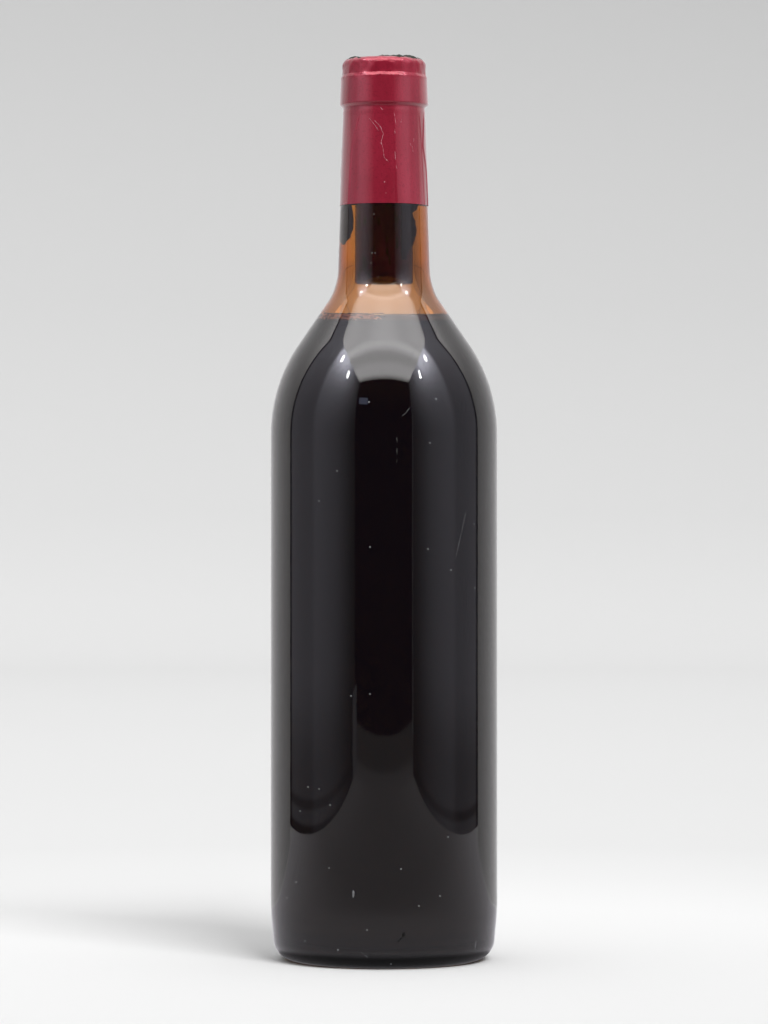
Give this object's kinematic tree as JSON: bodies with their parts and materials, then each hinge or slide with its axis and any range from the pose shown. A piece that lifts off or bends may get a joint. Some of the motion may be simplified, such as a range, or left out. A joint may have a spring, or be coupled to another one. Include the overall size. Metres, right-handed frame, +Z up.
{
  "type": "wine bottle",
  "caption": "Full, corked amber glass bottle of red wine with high shoulders, a punted base and a red foil capsule over the mouth.",
  "frame": {"origin": "centre of the base, on the plane that the bottle stands on", "axes": "+Z up along the bottle's axis, from the base to the capsule; -Y towards the picture's camera, +X to its right"},
  "size_m": [0.0754, 0.0754, 0.2999],
  "materials": {
    "glass": "amber bottle glass, smooth, with a few seeds and dust specks",
    "wine": "opaque dark red wine",
    "cork": "wine-soaked cork",
    "foil": "crimson lacquered foil, creased and scratched, with a dark crust on top"
  },
  "bodies": {
    "root": {"glass": "glass", "wine": "wine", "cork": "cork", "capsule": "foil"}
  },
  "joints": []
}
